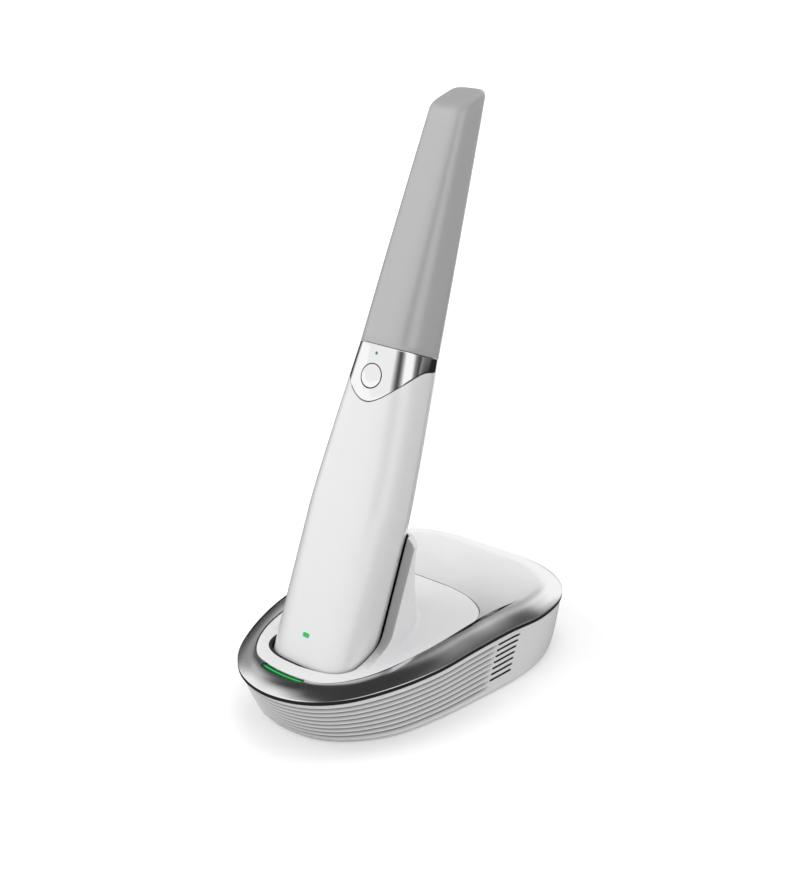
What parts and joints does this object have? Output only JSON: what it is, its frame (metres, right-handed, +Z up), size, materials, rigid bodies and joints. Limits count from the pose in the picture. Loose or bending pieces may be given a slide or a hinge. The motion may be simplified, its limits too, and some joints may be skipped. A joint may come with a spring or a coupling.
{
  "type": "intraoral scanner",
  "caption": "Cordless intraoral scanner wand with a slip-off tip, standing tilted in a ribbed charging dock.",
  "frame": {"origin": "centre of the dock's footprint on the surface it stands on", "axes": "+Z up, the dock's nose and the wand's front face towards -Y, +X to the right seen from the front"},
  "size_m": [0.116, 0.1711, 0.2606],
  "materials": {
    "white_shell": "satin moulded white",
    "grey_tip": "fine matte grey moulding",
    "silver_cover": "satin silver metallised plastic",
    "polished_band": "polished",
    "base_grey": "moulded light grey",
    "black_plastic": "moulded black",
    "rubber": "soft matte",
    "steel": "machined",
    "gold_contact": "gold plated",
    "circuit_board": "green solder mask",
    "mirror": "front coated",
    "glass": "clear",
    "green_light": "lit green light guide",
    "battery_wrap": "shrink wrapped"
  },
  "bodies": {
    "dock_and_handle": {"top_cover": "silver_cover", "light_bar": "green_light", "base_body": "base_grey", "bottom_plate": "black_plastic", "dock_board": "circuit_board", "power_socket": "black_plastic", "cradle_inlay": "white_shell", "pin_block": "black_plastic", "front_shell": "white_shell", "rear_shell": "white_shell", "charge_light": "green_light", "main_board": "circuit_board", "battery_pack": "battery_wrap", "charge_contact_left": "gold_contact", "charge_contact_right": "gold_contact", "band_ring": "polished_band", "button_switch": "black_plastic", "button_board": "circuit_board", "status_light": "green_light", "nose_barrel": "black_plastic", "nose_glass": "glass", "tip_seal": "rubber", "optics_frame": "steel", "camera_module": "black_plastic", "projector_module": "black_plastic", "rubber_foot_1": "rubber", "base_screw_1": "steel", "board_screw_1": "steel", "rubber_foot_2": "rubber", "base_screw_2": "steel", "board_screw_2": "steel", "rubber_foot_3": "rubber", "base_screw_3": "steel", "board_screw_3": "steel", "rubber_foot_4": "rubber", "base_screw_4": "steel", "board_screw_4": "steel"},
    "tip": {"tip_sleeve": "grey_tip", "tip_mirror": "mirror"},
    "button": {"scan_button": "polished_band"},
    "left_pin": {"charge_pin_left": "gold_contact"},
    "right_pin": {"charge_pin_right": "gold_contact"}
  },
  "joints": [
    {"name": "tip_slide", "type": "slide", "parent": "dock_and_handle", "child": "tip", "axis": [0, 0.3971, 0.9178], "range_m": [0, 0.08]},
    {"name": "button_press", "type": "slide", "parent": "dock_and_handle", "child": "button", "axis": [0, 0.9178, -0.3971], "range_m": [0, 0.0005], "stiffness_N_per_m": 1000, "springref_m": -0.0005},
    {"name": "left_pin_press", "type": "slide", "parent": "dock_and_handle", "child": "left_pin", "axis": [0, -0.3971, -0.9178], "range_m": [0, 0.0008], "stiffness_N_per_m": 600, "springref_m": -0.0005},
    {"name": "right_pin_press", "type": "slide", "parent": "dock_and_handle", "child": "right_pin", "axis": [0, -0.3971, -0.9178], "range_m": [0, 0.0008], "stiffness_N_per_m": 600, "springref_m": -0.0005}
  ]
}
